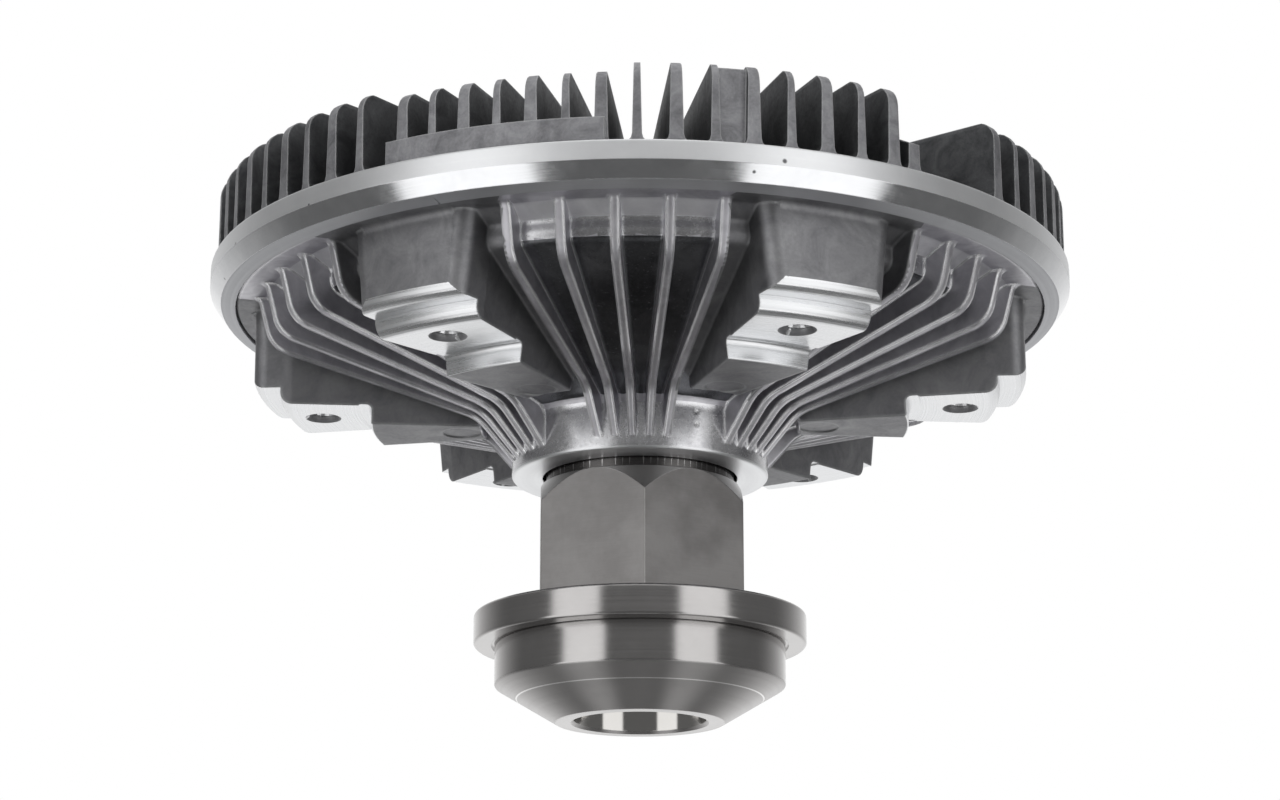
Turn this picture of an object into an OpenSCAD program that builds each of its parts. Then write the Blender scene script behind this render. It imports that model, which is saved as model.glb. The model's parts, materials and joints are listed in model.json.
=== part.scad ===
// Viscous fan clutch: a fluid coupling between a driven shaft and a bolted-on fan.
// Millimetres. Z is the spin axis and the finned cover is at the top. The origin is the centre of
// the seat face of the shaft's flange. Turns are counted from -Y, positive towards +X.

/* [Drive shaft] */
// Diameter of the seat flange
flange_d = 96.3; // [90:0.1:110]
// Thickness of the seat flange
flange_t = 8.8; // [6:0.1:14]
// Diameter of the pilot below the flange
pilot_d = 84; // [74:0.1:88]
// Height of the pilot's straight wall
pilot_h = 11.6; // [6:0.1:20]
// Diameter of the ring face at the end of the conical nose
nose_d = 48.6; // [44:0.1:60]
// Height of the conical nose
nose_h = 10.6; // [5:0.1:20]
// Diameter of the bore
bore_d = 38.1; // [30:0.1:42]
// Depth of the bore's straight wall
bore_depth = 32; // [15:1:68]
// Width of the hexagon across its flats
hex_af = 58.1; // [56:0.1:64]
// Height of the hexagon
hex_h = 38.2; // [30:0.1:50]
// Turn of one corner of the hexagon
hex_turn = 2.3; // [-30:0.1:30]
// Diameter of the neck that enters the housing
neck_d = 55.2; // [51:0.1:58]
// Diameter of the seat of the rotor
rotor_seat_d = 36; // [30:0.5:40]

/* [Bearing] */
// Bore of the bearing
bearing_bore = 45; // [40:0.5:49]
// Outside diameter of the bearing
bearing_od = 85; // [80:0.5:92]
// Width of the bearing
bearing_w = 19; // [17:0.5:24]
// Diameter of the balls
ball_d = 12.7; // [11:0.1:13.6]
// Number of balls
ball_count = 10; // [8:1:11]
// Thickness of the side seals
side_seal_t = 1.8; // [1:0.1:2.2]
// Thickness of the retaining ring
snap_t = 2.8; // [1.5:0.1:4]
// Depth of the retaining ring's groove
snap_depth = 1.6; // [1:0.1:2.5]

/* [Rear housing] */
// Outside diameter of the hub
hub_d = 75.2; // [70:0.2:80]
// Distance from the hub's end face to the bearing's shoulder
hub_len = 21.7; // [19:0.1:28]
// Distance from the hexagon's top to the hub's end face
hub_gap = 2.8; // [1:0.1:6]
// Radial gap between the neck and the hub's bore
neck_gap = 1; // [0.5:0.1:2]
// Wall of the cone, measured along Z
web_t = 6.4; // [5:0.1:9]
// Wall below the bearing's shoulder
shoulder_t = 4.6; // [3.5:0.1:7]
// Wall of the tube that holds the bearing
tube_wall = 6.5; // [5:0.1:9]
// Inside diameter of the working chamber
chamber_d = 198; // [190:1:210]
// Wall round the working chamber
chamber_wall = 5.7; // [4:0.1:7]
// Thickness of the flange that the cover is rolled over
joint_t = 5.6; // [4.5:0.1:8]
// Radial reach of that flange beyond the chamber's wall
joint_reach = 17.7; // [16:0.1:24]
// Height of the upright band at the outer end of the cone
band_h = 5.4; // [4:0.1:7]
// Turn of the casting's pattern of bosses and ribs
casting_turn = -3.4; // [-30:0.1:30]

/* [Fan bosses] */
// Number of bosses
boss_count = 6; // [4:1:6]
// Angle that a boss spans at its lowest face
boss_angle = 18; // [14:0.5:22]
// Largest width of a boss at its lowest face
boss_w = 32; // [28:0.5:40]
// Draft of the sides of a boss
boss_draft = 6.5; // [2:0.1:9]
// How far the bosses stand out beyond the chamber's wall
boss_proud = 8.8; // [7:0.1:11]
// Distance from the flange's top to the fan's seat
seat_drop = 33.9; // [31:0.1:38]
// Width of the outer land
land_w = 7.8; // [6:0.1:10]
// Height of the step from the fan's seat to the outer land
land_step = 4.9; // [3.5:0.1:7]
// Diameter of the fan's pilot
fan_pilot_d = 158; // [150:0.1:166]
// Height of the fan's pilot
fan_pilot_h = 5.3; // [4:0.1:7]
// Diameter of the circle of the fan bolts
fan_pcd = 188.5; // [182:0.1:192]
// Diameter of the bolt holes
fan_hole_d = 7.94; // [6:0.01:10]
// Depth of the bolt holes
fan_hole_depth = 16; // [10:0.5:17]
// Diameter of the countersink of the bolt holes
fan_sink_d = 10.6; // [10.1:0.1:13]
// Diameter of the ejector marks near the hub
mark_d = 11.5; // [8:0.1:13]

/* [Ribs] */
// Number of ribs between two bosses
rib_count = 5; // [3:2:5]
// Angle between ribs
rib_pitch = 7.5; // [6:0.1:8]
// Thickness of a rib at the hub
rib_t = 2.2; // [1.5:0.1:3]
// Draft of the sides of a rib
rib_draft = 0.35; // [0.25:0.05:1.5]
// Depth of the ribs' outer corner below the flange
rib_drop = 14.8; // [12:0.1:17]
// Plain length of the hub below the ribs
hub_lip = 3.5; // [2:0.1:6]

/* [Rotor] */
// Radial gap round the rotor
rotor_gap = 2.4; // [2:0.1:4]
// Thickness of the rotor's disc
rotor_t = 3.8; // [3:0.1:6]
// Height of the annular lands
ring_h = 3.4; // [2:0.1:5]
// Width of an annular land
ring_w = 2.2; // [1.5:0.1:2.4]
// Pitch of the annular lands
ring_pitch = 6; // [5.5:0.1:8]
// Axial gap between a land and the groove that it runs in
ring_gap = 0.6; // [0.4:0.05:1]
// Axial gap between the rotor and the bearing's tube
rotor_lift = 0.8; // [0.5:0.1:2]
// Diameter of the feed holes
feed_d = 8; // [5:0.5:10]
// Number of feed holes
feed_count = 8; // [4:1:10]

/* [Cover] */
// Thickness of the deck between the fins and the grooves
deck_t = 4.2; // [3.5:0.1:7]
// Thickness of the skirt that is rolled over the flange
skirt_t = 4.6; // [3.8:0.1:6]
// Height of the upright band of the rim
rim_h = 5.5; // [4:0.1:7]
// Width of the rim's chamfer
rim_chamfer = 3.2; // [2:0.1:4]
// Radial width of the rolled lip
lip_w = 7.5; // [6.5:0.1:9]
// Diameter of the reservoir
reservoir_d = 98; // [90:1:104]
// Height of the reservoir
reservoir_h = 12; // [9:0.5:16]
// Wall of the reservoir
reservoir_wall = 8; // [7:0.5:10]
// Thickness of the reservoir's roof
roof_t = 5; // [4:0.1:8]
// Section of the ring seal between cover and housing
joint_seal_d = 2.6; // [2:0.1:3.2]

/* [Fins] */
// Height of the fins
fin_h = 23.5; // [15:0.1:30]
// Distance of the fins' ends from the rim's edge
fin_setback = 1.2; // [0.5:0.1:4]
// Thickness of the thin fins at the tip
thin_tip = 1.7; // [1.3:0.1:2.6]
// Thickness of the thick fins at the tip
thick_tip = 2.9; // [2.3:0.1:3.8]
// Added thickness of a fin at its root
fin_draft = 0.9; // [0.4:0.1:1.2]
// Flare of the fins at the deck
fin_flare = 1; // [0.7:0.1:1.2]
// Radius of the fins' outer top corner
fin_corner = 6; // [2:0.1:8]
// Turn of the first fin of the short row
short_row_turn = -30.8; // [-32:0.1:-29]
// Angle between the fins of the short row that stand on its balance pad
pad_pitch = 4.35; // [4.2:0.05:4.5]
// Angle between the other fins of the short row
short_row_pitch = 4.68; // [4.4:0.01:4.8]
// Number of fins in the short row
short_row_count = 15; // [13:2:15]
// Turn of the first fin of the long row
long_row_turn = 51.3; // [50:0.1:53]
// Angle between the fins of the long row
long_row_pitch = 4.775; // [4.4:0.005:4.8]
// Number of fins in the long row
long_row_count = 58; // [40:1:58]
// Height of the balance pads
pad_h = 7; // [4:0.1:10]
// How far the fins stand back on a balance pad
pad_setback = 2.4; // [1:0.1:4]
// How much lower the fins on a balance pad are
pad_drop = 1.5; // [0:0.1:3]

/* [Valve] */
// Diameter of the valve's spindle
spindle_d = 10; // [9:0.1:12]
// Running clearance of the spindle
spindle_play = 0.05; // [0.02:0.01:0.1]
// Thickness of the separator plate
plate_t = 1.5; // [1:0.1:2]
// Radius of the gate in the separator plate
gate_r = 36; // [30:0.5:40]
// Diameter of the gate
gate_d = 9; // [6:0.5:11]
// Thickness of the valve's arm
arm_t = 1.3; // [1:0.1:2]
// Lift of the valve's arm off the separator plate
arm_lift = 0.4; // [0.3:0.05:0.8]
// Number of screws in the separator plate
screw_count = 6; // [4:1:8]
// Thread diameter of the screws
screw_d = 4; // [3:0.5:5]
// Thickness of the bimetal strip
strip_t = 0.9; // [0.6:0.05:1.2]
// Width of the bimetal strip
strip_w = 7.5; // [5:0.1:10]
// Turns of the bimetal coil
coil_turns = 6; // [3:1:7]
// Pitch of the bimetal coil
coil_pitch = 3.6; // [3:0.1:4.5]

/* [Hidden] */
$fn = 96;

// Small clearances and edges that several pieces share
press_gap = 0.02;
seat_gap = 0.05;
run_gap = 0.3;
ball_play = 0.12;
edge = 0.8;
foot_round = 2;
boss_round = 4.5;
undercut = 0.4;
overlap = 1;
far = 400;

// Radii
bearing_r = bearing_od / 2;
ball_r = ball_d / 2;
pitch_r = (bearing_bore + bearing_od) / 4;
inner_land_r = pitch_r - 0.3 * ball_d;
outer_land_r = pitch_r + 0.3 * ball_d;
hub_r = hub_d / 2;
hub_bore_r = neck_d / 2 + neck_gap;
tube_r = bearing_r + max(tube_wall, snap_depth + 3);
chamber_r = chamber_d / 2;
band_r = chamber_r + chamber_wall;
joint_r = band_r + joint_reach;
skirt_r = joint_r + seat_gap;
rim_r = skirt_r + skirt_t;
lip_r = rim_r - lip_w;
rabbet_r = lip_r - 0.4;
joint_seal_r = (chamber_r + joint_r) / 2;
boss_r = band_r + boss_proud;
seat_edge_r = boss_r - land_w;
fan_pilot_r = fan_pilot_d / 2;
boss_in_r = hub_r + 9;
rotor_r = chamber_r - rotor_gap;
rotor_hub_r = inner_land_r - 1;
reservoir_r = reservoir_d / 2;
dome_r = reservoir_r + reservoir_wall;
plate_r = reservoir_r + 7.5;
screw_r = reservoir_r + 3.6;
spindle_r = spindle_d / 2;
spindle_boss_r = spindle_r + 5;

// Heights, from the shaft's flange up
nose_z = -pilot_h - nose_h;
hex_top_z = flange_t + hex_h;
hub_z = hex_top_z + hub_gap;
bearing_z = hub_z + hub_len;
bearing_mid_z = bearing_z + bearing_w / 2;
bearing_top_z = bearing_z + bearing_w;
snap_z = bearing_top_z + seat_gap;
tube_top_z = snap_z + snap_t + 2.6;
disc_z = tube_top_z + rotor_lift;
disc_top_z = disc_z + rotor_t;
ring_top_z = disc_top_z + ring_h;
ceiling_z = ring_top_z + ring_gap;
cover_ring_z = disc_top_z + ring_gap;
joint_z = ring_top_z;
joint_under_z = joint_z - joint_t;
lip_z = joint_under_z - 0.6;
deck_z = ceiling_z + deck_t;
fin_top_z = deck_z + fin_h;
seat_z = joint_z - seat_drop;
pilot_land_z = seat_z - fan_pilot_h;
outer_land_z = seat_z + land_step;
plate_top_z = ceiling_z + 1;
plate_z = plate_top_z - plate_t;
roof_z = plate_top_z + reservoir_h;
dome_z = roof_z + roof_t;
arm_z = plate_top_z + arm_lift;
spindle_flange_z = arm_z + arm_t;
spindle_flange_t = 1.5;
spindle_seal_d = 1.85;
spindle_boss_z = spindle_flange_z + spindle_flange_t + run_gap;
spindle_boss_top_z = dome_z + 3.5;
clip_t = 1;
clip_z = spindle_boss_top_z + run_gap;
coil_z = clip_z + clip_t + run_gap;
groove_z = (spindle_boss_z + dome_z) / 2;
spindle_top_z = coil_z + strip_w;

// The cone of the rear housing, as heights of its outer face
cone_in = [bearing_r, bearing_z - shoulder_t];
cone_out = [band_r, joint_z - 14.2];
cone_slope = (cone_out[1] - cone_in[1]) / (cone_out[0] - cone_in[0]);
function cone_z(r) = cone_in[1] + (r - cone_in[0]) * cone_slope;

// The ribs' free edge
rib_root_z = hub_z + hub_lip;
rib_hub_corner = [hub_r + 10.9, rib_root_z + 12.4];
rib_end_r = band_r + 8.5;
rib_corner = [rib_end_r - 4, joint_under_z - rib_drop];

// Annular lands, from the rotor's edge inwards
ring_inner_r = plate_r + 4;
ring_total = floor((rotor_r - ring_inner_r) / ring_pitch);
function rotor_ring_r(i) = rotor_r - ring_w / 2 - i * ring_pitch;
function cover_ring_r(i) = rotor_ring_r(i) - ring_pitch / 2;

// Valve, coil and passages
gate_turn = 100;
coil_in_r = spindle_r + 1.6;
coil_out_r = coil_in_r + coil_pitch * coil_turns;
tab_len = 4;
slot_w = strip_t + 0.2;
duct_turn = 44;
duct_d = 4.6;
duct_z = deck_z + 2.4;
wiper_span = 8;
wiper_turn = duct_turn - wiper_span - 2;
wiper_tongue = 1.4;
fill_r = reservoir_r - 16;
fill_d = 7;
fill_plug_d = 11;
fill_plug_t = 2.6;
screw_grip = 1.5 * screw_d;

// A rounded corner of an outline: the arc that joins the sides from a to b and from b to c
function unit(v) = v / norm(v);
function corner_arc(a, b, c, r, steps = 6) =
    let(
        u = unit(a - b),
        v = unit(c - b),
        half = acos(u * v) / 2,
        centre = b + unit(u + v) * r / sin(half),
        first = b + u * r / tan(half) - centre,
        last = b + v * r / tan(half) - centre,
        from = atan2(first[1], first[0]),
        turn = atan2(last[1], last[0]) - from,
        sweep = turn > 180 ? turn - 360 : turn < -180 ? turn + 360 : turn
    )
    [for (i = [0 : steps]) centre + r * [cos(from + sweep * i / steps), sin(from + sweep * i / steps)]];

// An outline whose points may carry a third number, the radius of their corner
function flat(p) = [p[0], p[1]];
function rounded(points) =
    let(n = len(points))
    [for (i = [0 : n - 1])
        each (len(points[i]) < 3 ? [points[i]] :
            corner_arc(flat(points[(i + n - 1) % n]), flat(points[i]),
                flat(points[(i + 1) % n]), points[i][2]))];

module turned(points) {
    rotate_extrude() polygon(rounded(points));
}

// A bar along the radius at a turn, with its section given as width and height
module radial_bar(turn, from_r, to_r, section) {
    rotate([0, 0, turn])
        translate([0, -from_r, 0])
            rotate([90, 0, 0])
                linear_extrude(to_r - from_r) polygon(section);
}

module ring(outer_r, inner_r, z, h) {
    translate([0, 0, z])
        difference() {
            cylinder(r = outer_r, h = h);
            translate([0, 0, -overlap]) cylinder(r = inner_r, h = h + 2 * overlap);
        }
}

module torus(centre_r, section_r, z) {
    translate([0, 0, z]) rotate_extrude() translate([centre_r, 0]) circle(r = section_r, $fn = 32);
}

// Shaft that is bolted to the drive: conical nose, pilot, flange, hexagon, neck and bearing seat
module drive_shaft() {
    end_z = disc_top_z + 2;
    relief_w = 1;
    relief_t = 0.6;
    color("#777573")
    difference() {
        union() {
            turned([
                [0, nose_z], [nose_d / 2, nose_z, edge], [pilot_d / 2, -pilot_h, edge],
                [pilot_d / 2, relief_t], [pilot_d / 2 + relief_w, relief_t], [pilot_d / 2 + relief_w, 0],
                [flange_d / 2, 0, edge], [flange_d / 2, flange_t, edge], [0, flange_t]
            ]);
            hexagon();
            turned([
                [0, flange_t - overlap], [neck_d / 2 - 4, flange_t - overlap],
                [neck_d / 2 - 4, hex_top_z - overlap], [neck_d / 2, hex_top_z - overlap],
                [neck_d / 2, bearing_z], [bearing_bore / 2 - press_gap, bearing_z],
                [bearing_bore / 2 - press_gap, bearing_top_z - edge],
                [rotor_seat_d / 2 - press_gap, bearing_top_z - edge],
                [rotor_seat_d / 2 - press_gap, disc_top_z + 0.4],
                [rotor_seat_d / 2 + edge, disc_top_z + 0.4 + edge],
                [rotor_seat_d / 2 + edge, end_z, 0.6], [0, end_z]
            ]);
        }
        turned([
            [0, nose_z - overlap], [bore_d / 2 + edge + overlap, nose_z - overlap],
            [bore_d / 2, nose_z + edge], [bore_d / 2, nose_z + bore_depth],
            [0, nose_z + bore_depth + bore_d / 2 / tan(59)]
        ]);
    }
}

// The hexagon, with its upper corners turned off at thirty degrees to the axis
module hexagon() {
    corner_r = hex_af / 2 / cos(30);
    corner_z = hex_top_z - (corner_r - hex_af / 2) / tan(30);
    intersection() {
        rotate([0, 0, hex_turn - 90])
            translate([0, 0, flange_t - overlap])
                cylinder(r = corner_r, h = hex_h + overlap, $fn = 6);
        turned([
            [0, flange_t - 2 * overlap], [corner_r + overlap, flange_t - 2 * overlap],
            [corner_r + overlap, corner_z - overlap / tan(30)], [hex_af / 2, hex_top_z],
            [0, hex_top_z]
        ]);
    }
}

module bearing_race(inner_r, outer_r) {
    difference() {
        ring(outer_r, inner_r, bearing_z, bearing_w);
        torus(pitch_r, ball_r + ball_play, bearing_mid_z);
    }
}

module bearing_inner_ring() {
    color("#b8bcc0") bearing_race(bearing_bore / 2, inner_land_r);
}

// The outer ring, with a groove at each side that takes the edge of a seal
module bearing_outer_ring() {
    color("#b8bcc0")
    difference() {
        bearing_race(outer_land_r, bearing_r - press_gap);
        for (z = [bearing_z - overlap, bearing_top_z - side_seal_t])
            translate([0, 0, z]) cylinder(r = outer_land_r + 1.2, h = side_seal_t + overlap);
    }
}

module bearing_balls() {
    color("#d5d8da")
    for (i = [0 : ball_count - 1])
        rotate([0, 0, i * 360 / ball_count])
            translate([0, -pitch_r, bearing_mid_z]) sphere(r = ball_r, $fn = 48);
}

// One-piece crown cage: a ring on one side of the balls, with open pockets that hold them
module bearing_cage() {
    half_t = (outer_land_r - inner_land_r) / 2 - 2 * run_gap;
    back_z = bearing_mid_z - bearing_w / 2 + side_seal_t + run_gap;
    color("#3b3f44")
    difference() {
        ring(pitch_r + half_t, pitch_r - half_t, back_z, bearing_mid_z + 0.3 * ball_r - back_z);
        for (i = [0 : ball_count - 1])
            rotate([0, 0, i * 360 / ball_count])
                translate([0, -pitch_r + 2 * half_t, bearing_mid_z])
                    rotate([90, 0, 0]) cylinder(r = ball_r + ball_play, h = 4 * half_t);
    }
}

module side_seal(z) {
    difference() {
        ring(outer_land_r + 1.2 - press_gap, inner_land_r + run_gap, z, side_seal_t - seat_gap);
        ring(outer_land_r - 1, inner_land_r + 2, z - overlap, overlap + 0.4);
    }
}

module bearing_rear_seal() {
    color("#2a2a2c") side_seal(bearing_z);
}

module bearing_front_seal() {
    color("#2a2a2c")
    translate([0, 0, 2 * bearing_mid_z]) mirror([0, 0, 1]) side_seal(bearing_z);
}

// Internal snap ring with a gap and two drilled ears
module bearing_retaining_ring() {
    ear_turn = 11;
    ear_r = bearing_r - 3;
    color("#6d7074")
    difference() {
        union() {
            ring(bearing_r + snap_depth - seat_gap, bearing_r - 3.2, snap_z, snap_t - 2 * seat_gap);
            for (side = [-1, 1])
                rotate([0, 0, side * ear_turn])
                    translate([0, -ear_r, snap_z]) cylinder(r = 3, h = snap_t - 2 * seat_gap);
        }
        for (side = [-1, 1])
            rotate([0, 0, side * ear_turn])
                translate([0, -ear_r, snap_z - overlap]) cylinder(r = 1.2, h = snap_t + 2 * overlap);
        rotate([0, 0, -7])
            translate([0, 0, snap_z - overlap])
                rotate_extrude(angle = 14, start = -90) square([far, snap_t + 2 * overlap]);
    }
}

// Rear half of the casing: hub, ribbed cone, fan bosses, bearing tube and the flange of the joint
module rear_housing() {
    color("#8b8c90")
    difference() {
        union() {
            housing_shell();
            intersection() {
                rib_bars();
                turned(rib_envelope());
            }
            intersection() {
                for (i = [0 : boss_count - 1])
                    rotate([0, 0, casting_turn + (i + 0.5) * 360 / boss_count]) boss_blank();
                turned(boss_envelope());
            }
        }
        for (i = [0 : boss_count - 1])
            rotate([0, 0, casting_turn + (i + 0.5) * 360 / boss_count]) boss_holes();
        joint_seal_groove();
        punch_marks();
    }
}

module housing_shell() {
    tube_foot_z = cone_z(tube_r) + web_t;
    chamber_foot_z = cone_z(chamber_r) + web_t;
    snap_r = bearing_r + snap_depth;
    turned([
        [hub_bore_r, hub_z], [hub_r, hub_z, edge], [hub_r, cone_z(hub_r), 4],
        [band_r, cone_out[1], 3.4], [band_r, cone_out[1] + band_h, 1.2],
        [band_r + 6, joint_under_z, 2], [rabbet_r, joint_under_z, 0.6],
        [rabbet_r, joint_under_z + 2], [joint_r, joint_under_z + 2], [joint_r, joint_z],
        [chamber_r, joint_z], [chamber_r, chamber_foot_z, 3], [tube_r, tube_foot_z, 4],
        [tube_r, tube_top_z, edge], [bearing_r, tube_top_z], [bearing_r, snap_z + snap_t],
        [snap_r, snap_z + snap_t], [snap_r, snap_z], [bearing_r, snap_z],
        [bearing_r, bearing_z], [outer_land_r, bearing_z], [outer_land_r, bearing_z - 2.4],
        [hub_bore_r, bearing_z - 2.4]
    ]);
}

module joint_seal_groove() {
    ring(joint_seal_r + joint_seal_d / 2 + 0.2, joint_seal_r - joint_seal_d / 2 - 0.2,
        joint_z - joint_seal_d - seat_gap, far);
}

// The ribs are bars with draft, cut to the shape of their free edge
module rib_bars() {
    spread = tan(rib_draft);
    low = rib_root_z - 2;
    function half_t(z) = rib_t / 2 + spread * (z - rib_root_z);
    section = [
        [-half_t(low), low], [half_t(low), low], [half_t(joint_z), joint_z], [-half_t(joint_z), joint_z]
    ];
    for (i = [0 : boss_count - 1], j = [0 : rib_count - 1])
        radial_bar(casting_turn + i * 360 / boss_count + (j - (rib_count - 1) / 2) * rib_pitch,
            hub_r - 4, rib_end_r + 4, section);
}

function rib_envelope() = [
    [hub_r - 3, rib_root_z - 3.4], [rib_hub_corner[0], rib_hub_corner[1], 12],
    [rib_corner[0], rib_corner[1], 9], [rib_end_r, joint_under_z, foot_round],
    [rib_end_r + 1.5 * foot_round, joint_under_z], [rib_end_r + 1.5 * foot_round, joint_under_z + overlap],
    [band_r - 2, joint_under_z + overlap], [band_r - 2, cone_z(band_r - 2) + web_t / 2],
    [hub_r - 3, cone_z(hub_r - 3) + web_t / 2]
];

// The turned faces of the bosses: outer land, step, fan seat, undercut, pilot and inner land
function boss_envelope() = [
    [boss_in_r, pilot_land_z, 1.5], [fan_pilot_r, pilot_land_z, 0.4],
    [fan_pilot_r, seat_z + undercut, 1.6], [fan_pilot_r + 3.4, seat_z + undercut],
    [fan_pilot_r + 4, seat_z], [seat_edge_r, seat_z, 0.72 * land_step],
    [seat_edge_r, outer_land_z], [boss_r, outer_land_z, 0.4 * land_w],
    [boss_r, joint_under_z, foot_round], [boss_r + 1.5 * foot_round, joint_under_z],
    [boss_r + 1.5 * foot_round, joint_under_z + overlap],
    [band_r - 2, joint_under_z + overlap], [band_r - 2, cone_z(band_r - 2) + web_t / 2],
    [boss_in_r, cone_z(boss_in_r) + web_t / 2]
];

// One boss along -Y between its drafted sides, with its outer edges rounded, before it is turned
module boss_blank() {
    difference() {
        intersection() {
            for_both_sides() rotate([0, 0, boss_angle / 2]) drafted_side(0);
            for_both_sides() drafted_side(boss_w / 2);
        }
        boss_corner();
        mirror([1, 0, 0]) boss_corner();
    }
}

// What is taken off an outer edge of a boss; it leans with the draft and follows the boss's wall
module boss_corner() {
    centre_x = boss_w / 2 - boss_round / cos(boss_draft);
    centre_r = boss_r - boss_round + press_gap;
    centre_y = sqrt(centre_r * centre_r - centre_x * centre_x);
    lean = atan(tan(boss_draft) * (centre_x + 2) / centre_y);
    translate([centre_x, -centre_y, pilot_land_z])
        rotate([0, boss_draft, 0])
            rotate([-lean, 0, 0])
                difference() {
                    translate([0, -far, -far / 2]) cube(far);
                    cylinder(r = boss_round, h = 2 * far, center = true);
                }
}

module for_both_sides() {
    intersection() {
        children();
        mirror([1, 0, 0]) children();
    }
}

module drafted_side(offset_x) {
    translate([offset_x, 0, pilot_land_z])
        rotate([0, boss_draft, 0])
            translate([-far, -far, -far / 2]) cube([far, far, far]);
}

// Two punch marks above each other on the hub
module punch_marks() {
    mark_turn = 25.2;
    mark_r = 0.9;
    for (z = [rib_root_z + 4.3, rib_root_z + 7.9])
        rotate([0, 0, mark_turn])
            translate([0, -hub_r - 0.2, z])
                rotate([-90, 0, 0]) cylinder(r1 = mark_r, r2 = 0, h = mark_r);
}

module boss_holes() {
    mark_depth = 0.4;
    translate([0, -fan_pcd / 2, seat_z]) {
        translate([0, 0, -overlap]) cylinder(d = fan_hole_d, h = fan_hole_depth + overlap);
        translate([0, 0, fan_hole_depth])
            cylinder(d1 = fan_hole_d, d2 = 0, h = fan_hole_d / 2 / tan(59));
        translate([0, 0, -overlap])
            cylinder(d1 = fan_sink_d + 2 * overlap, d2 = fan_hole_d,
                h = (fan_sink_d - fan_hole_d) / 2 + overlap);
    }
    translate([0, -boss_in_r - mark_d / 2 - 0.4, pilot_land_z - overlap])
        cylinder(d = mark_d, h = overlap + mark_depth);
}

// Front half of the casing: finned deck, rolled rim, lands, reservoir dome and spindle boss
module front_cover() {
    color("#5e5f62")
    difference() {
        union() {
            cover_shell();
            fin_rows();
            balance_pads();
            return_duct();
            coil_posts();
        }
        cover_holes();
        lip_notch();
    }
}

// A nick across the rolled lip
module lip_notch() {
    notch_turn = -26.2;
    notch_w = 1.2;
    radial_bar(notch_turn, lip_r - overlap, lip_r + lip_w / 2, [
        [-notch_w / 2, lip_z - overlap], [notch_w / 2, lip_z - overlap], [0, lip_z + notch_w]
    ]);
}

module cover_shell() {
    lip_top_z = joint_under_z + 2 - seat_gap;
    chamfer_z = lip_z + 1.2;
    turned(concat(
        [
            [0, spindle_boss_z], [spindle_boss_r, spindle_boss_z], [spindle_boss_r, roof_z, 1.5],
            [reservoir_r, roof_z, 4], [reservoir_r, plate_top_z],
            [plate_r + seat_gap, plate_top_z], [plate_r + seat_gap, ceiling_z]
        ],
        [for (i = [ring_total - 1 : -1 : 0])
            each let(r = cover_ring_r(i))
                [[r - ring_w / 2, ceiling_z], [r - ring_w / 2, cover_ring_z],
                 [r + ring_w / 2, cover_ring_z], [r + ring_w / 2, ceiling_z]]],
        [
            [chamber_r + 0.5, ceiling_z], [chamber_r + 0.5, joint_z], [skirt_r, joint_z],
            [skirt_r, lip_top_z], [lip_r, lip_top_z], [lip_r, lip_z], [rim_r - rim_chamfer, chamfer_z],
            [rim_r, deck_z - rim_h], [rim_r, deck_z, 0.5], [dome_r + 2, deck_z, 4],
            [dome_r, dome_z, 3], [spindle_boss_r, dome_z, 1.5], [spindle_boss_r, spindle_boss_top_z],
            [0, spindle_boss_top_z]
        ]
    ));
}

// The fins stand in two rows with a wide gap between them, thin and thick by turns
// and the short row's first fins stand on a balance pad
pad_fins = 7;
free_turn = short_row_turn + pad_fins * pad_pitch;
fin_turns = concat(
    [for (i = [0 : pad_fins - 1]) short_row_turn + i * pad_pitch],
    [for (i = [0 : short_row_count - pad_fins - 1]) free_turn + i * short_row_pitch],
    [for (i = [0 : long_row_count - 1]) long_row_turn + i * long_row_pitch]);

// Each balance pad is a turn and a span
pads = [[short_row_turn - 1.9, 28.5], [-98, 19]];
function past(turn, pad) = (turn - pad[0] + 720) % 360;
function on_pad(turn) = len([for (pad = pads) if (past(turn, pad) < pad[1]) pad]) > 0;
function is_thin(i) = (i < short_row_count ? i : i - short_row_count) % 2 == 1;

module fin_rows() {
    for (back = [false, true])
        intersection() {
            union() {
                for (i = [0 : len(fin_turns) - 1])
                    if (on_pad(fin_turns[i]) == back)
                        fin(fin_turns[i], is_thin(i), fin_top_z - (back ? pad_drop : 0));
                if (!back) {
                    filled_bay();
                    low_stub();
                }
            }
            turned(back ? fin_envelope(rim_r - fin_setback - pad_setback, fin_top_z - pad_drop)
                : fin_envelope(rim_r - fin_setback, fin_top_z));
        }
}

function fin_envelope(end_r, top_z) = [
    [dome_r - 2, deck_z - overlap], [end_r, deck_z - overlap], [end_r, top_z, fin_corner],
    [dome_r + 6, top_z, 3], [dome_r - 2, dome_z - 1]
];

// Half of a fin's section from its rounded tip down to its flared root, which runs on under the deck
function fin_side(tip, top_z) =
    let(root = tip + fin_draft)
    [[0.15 * tip, top_z], [0.38 * tip, top_z - 0.14 * tip], [0.5 * tip, top_z - 0.5 * tip],
     [root / 2, deck_z + 2 * fin_flare], [root / 2 + 0.3 * fin_flare, deck_z + 0.8 * fin_flare],
     [root / 2 + fin_flare + 0.875 * overlap, deck_z - overlap]];

function fin_section(tip, top_z) =
    let(side = fin_side(tip, top_z), last = len(side) - 1)
    concat([for (i = [last : -1 : 0]) side[i]], [for (p = side) [-p[0], p[1]]]);

module fin(turn, thin, top_z) {
    radial_bar(turn, thin ? dome_r + 18 : dome_r - 2, rim_r,
        fin_section(thin ? thin_tip : thick_tip, top_z + seat_gap));
}

// A bay of the short row that the casting fills nearly to the fins' tips
module filled_bay() {
    fin_before = 9;
    fill_len = 20;
    fill_drop = 2;
    sector(fin_turns[fin_before] + 0.3, short_row_pitch - 0.5, rim_r - fill_len,
        rim_r - fin_setback - fill_drop, deck_z - overlap, fin_top_z - fill_drop);
}

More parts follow.
